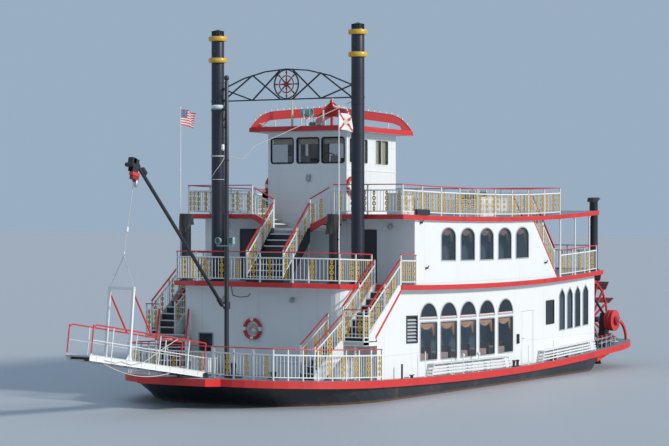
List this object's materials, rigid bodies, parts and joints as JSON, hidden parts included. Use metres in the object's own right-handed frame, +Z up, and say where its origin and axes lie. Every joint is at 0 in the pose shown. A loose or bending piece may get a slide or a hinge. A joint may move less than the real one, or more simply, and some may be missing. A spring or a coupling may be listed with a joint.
{
  "type": "stern-wheel paddle steamer",
  "caption": "Flat-bottomed stern-wheel river boat with open decks, a wheelhouse under a crown, tall chimneys and a landing stage slung from a derrick at the bow.",
  "frame": {"origin": "centre of the hull's flat bottom, amidships", "axes": "+X to the bow, +Y to port, +Z up"},
  "size_m": [33.0555, 9.3, 14.0646],
  "materials": {
    "white_paint": "semi-gloss enamel",
    "red_paint": "semi-gloss enamel",
    "black_paint": "satin enamel",
    "navy_paint": "satin enamel",
    "deck_paint": "matt non-slip deck paint",
    "wheel_red": "weathered paint",
    "gold_paint": "gold paint",
    "machine_steel": "worn steel",
    "window_glass": "tinted glass",
    "cloth": "woven cloth",
    "rope": "laid rope",
    "wood": "varnished wood",
    "gasket": "rubber seal",
    "moulded": "moulded plastic"
  },
  "bodies": {
    "ship": {"hull": "black_paint", "main_deck": "red_paint", "stern_beam_port": "red_paint", "stern_beam_starboard": "red_paint", "wheel_bearing_port": "black_paint", "wheel_bearing_starboard": "black_paint", "main_house_front": "white_paint", "main_house_side_port": "white_paint", "main_house_side_starboard": "white_paint", "main_house_aft": "white_paint", "engine": "machine_steel", "saloon_deck": "red_paint", "saloon_front_port": "white_paint", "saloon_front_starboard": "white_paint", "saloon_side_port": "white_paint", "saloon_side_starboard": "white_paint", "saloon_aft": "white_paint", "roof_deck": "red_paint", "wheelhouse_front": "white_paint", "wheelhouse_side_port": "white_paint", "wheelhouse_side_starboard": "white_paint", "wheelhouse_aft": "white_paint", "wheelhouse_floor": "deck_paint", "wheelhouse_roof": "red_paint", "roof_crown": "red_paint", "chimney_port": "navy_paint", "chimney_starboard": "navy_paint", "chimney_arch": "black_paint", "fore_stack_port": "black_paint", "fore_stack_starboard": "black_paint", "aft_stack_port": "black_paint", "aft_stack_starboard": "black_paint", "side_stair_port": "black_paint", "side_stair_starboard": "black_paint", "centre_stair": "black_paint", "aft_stair_port": "black_paint", "aft_stair_starboard": "black_paint", "fore_rail_port": "white_paint", "fore_rail_starboard": "white_paint", "saloon_fore_rail": "white_paint", "saloon_aft_rail": "white_paint", "roof_rail": "white_paint", "mast": "black_paint", "stage_saddle": "black_paint"},
    "wheel": {"paddle_wheel": "wheel_red"},
    "port_rudder": {"rudder_port": "black_paint"},
    "starboard_rudder": {"rudder_starboard": "black_paint"},
    "port_main_door": {"main_door_port": "white_paint"},
    "starboard_main_door": {"main_door_starboard": "white_paint"},
    "port_saloon_door": {"saloon_door_port": "white_paint"},
    "starboard_saloon_door": {"saloon_door_starboard": "white_paint"},
    "aft_saloon_door": {"saloon_aft_door": "white_paint"},
    "pilot_door": {"wheelhouse_door": "white_paint"},
    "gate": {"bow_gate": "white_paint"},
    "derrick_collar": {"boom_collar": "black_paint"},
    "derrick_boom": {"boom": "black_paint"},
    "hoist_fall": {"fall": "machine_steel"},
    "landing_stage": {"stage": "white_paint"}
  },
  "joints": [
    {"name": "wheel_turn", "type": "hinge", "parent": "ship", "child": "wheel", "pos_m": [-14.5, 0, 2.82], "axis": [0, 1, 0], "continuous": true},
    {"name": "port_rudder_turn", "type": "hinge", "parent": "ship", "child": "port_rudder", "pos_m": [-11.45, 1.9, 0.6], "axis": [0, 0, 1], "range_deg": [-35, 35]},
    {"name": "starboard_rudder_turn", "type": "hinge", "parent": "ship", "child": "starboard_rudder", "pos_m": [-11.45, -1.9, 0.6], "axis": [0, 0, 1], "range_deg": [-35, 35]},
    {"name": "port_main_door_swing", "type": "hinge", "parent": "ship", "child": "port_main_door", "pos_m": [-6.418, 4.25, 2.6], "axis": [0, 0, 1], "range_deg": [-90, 0]},
    {"name": "starboard_main_door_swing", "type": "hinge", "parent": "ship", "child": "starboard_main_door", "pos_m": [-6.418, -4.25, 2.6], "axis": [0, 0, 1], "range_deg": [0, 90]},
    {"name": "port_saloon_door_swing", "type": "hinge", "parent": "ship", "child": "port_saloon_door", "pos_m": [3.11, 2.948, 5.8], "axis": [0, 0, 1], "range_deg": [-90, 0]},
    {"name": "starboard_saloon_door_swing", "type": "hinge", "parent": "ship", "child": "starboard_saloon_door", "pos_m": [3.11, -2.948, 5.8], "axis": [0, 0, 1], "range_deg": [0, 90]},
    {"name": "aft_saloon_door_swing", "type": "hinge", "parent": "ship", "child": "aft_saloon_door", "pos_m": [-5.99, 0.408, 5.8], "axis": [0, 0, 1], "range_deg": [0, 90]},
    {"name": "pilot_door_swing", "type": "hinge", "parent": "ship", "child": "pilot_door", "pos_m": [-0.26, 1.238, 8.2], "axis": [0, 0, 1], "range_deg": [0, 90]},
    {"name": "gate_swing", "type": "hinge", "parent": "ship", "child": "gate", "pos_m": [9.8, 0.5, 2.4], "axis": [0, 0, 1], "range_deg": [-90, 0]},
    {"name": "boom_slew", "type": "hinge", "parent": "ship", "child": "derrick_collar", "pos_m": [8.24, 0, 4.25], "axis": [0, 0, 1], "range_deg": [-75, 75]},
    {"name": "boom_luff", "type": "hinge", "parent": "derrick_collar", "child": "derrick_boom", "pos_m": [8.5, 0, 4.25], "axis": [0, -1, 0], "range_deg": [-4.5, 12.5]},
    {"name": "fall_swing", "type": "hinge", "parent": "derrick_boom", "child": "hoist_fall", "pos_m": [13.34, 0, 9.02], "axis": [0, -1, 0], "range_deg": [-14.5, 5.5]},
    {"name": "stage_pitch", "type": "hinge", "parent": "ship", "child": "landing_stage", "pos_m": [10.23, 0, 2.007], "axis": [0, -1, 0], "range_deg": [-5.2, 15]}
  ],
  "couplings": [
    {"joint": "starboard_rudder_turn", "follows": "port_rudder_turn", "ratio": 1},
    {"joint": "boom_luff", "follows": "stage_pitch", "ratio": 0.77},
    {"joint": "fall_swing", "follows": "stage_pitch", "ratio": -0.92}
  ]
}
